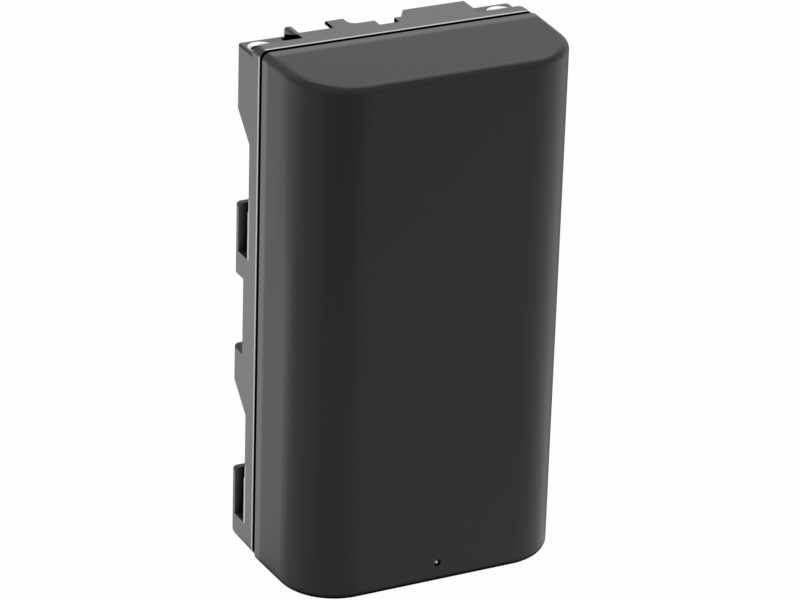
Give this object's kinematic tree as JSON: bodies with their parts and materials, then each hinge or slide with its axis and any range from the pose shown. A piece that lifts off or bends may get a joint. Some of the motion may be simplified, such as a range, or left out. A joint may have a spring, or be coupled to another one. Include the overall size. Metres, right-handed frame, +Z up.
{
  "type": "camera battery",
  "caption": "Slide-on camcorder battery pack: a rounded dark front cover welded to a grey rear case with side rails, round sockets at the contact end, cells and a protection board inside.",
  "frame": {"origin": "centre of the bounding box, on the plain lower end that the pack stands on", "axes": "+X across the width, -Y out of the rounded front, +Y out of the rail side, +Z up to the contact end"},
  "size_m": [0.0384, 0.0218, 0.0708],
  "materials": {
    "cover_plastic": "fine matte texture, charcoal",
    "case_plastic": "fine matte texture, mid grey",
    "contact_metal": "bright plated sheet",
    "cell_wrap": "shrink sleeve",
    "insulating_paper": "paper",
    "nickel_strip": "rolled strip",
    "foam": "closed-cell foam",
    "board_laminate": "solder-resist green",
    "chip_plastic": "moulded package",
    "fuse_plastic": "moulded package",
    "ceramic": "fired ceramic"
  },
  "bodies": {
    "root": {"front_cover": "cover_plastic", "rear_case": "case_plastic", "positive_socket": "contact_metal", "negative_socket": "contact_metal", "data_contact": "contact_metal", "cell_left": "cell_wrap", "cell_right": "cell_wrap", "cell_washer_left": "insulating_paper", "cell_washer_right": "insulating_paper", "board_insulator": "insulating_paper", "series_strip": "nickel_strip", "midpoint_strip": "nickel_strip", "positive_strip": "nickel_strip", "negative_strip": "nickel_strip", "end_pad": "foam", "circuit_board": "board_laminate", "protection_chip": "chip_plastic", "switch_transistor": "chip_plastic", "sense_resistor": "chip_plastic", "thermal_fuse": "fuse_plastic", "board_capacitors": "ceramic"}
  },
  "joints": []
}
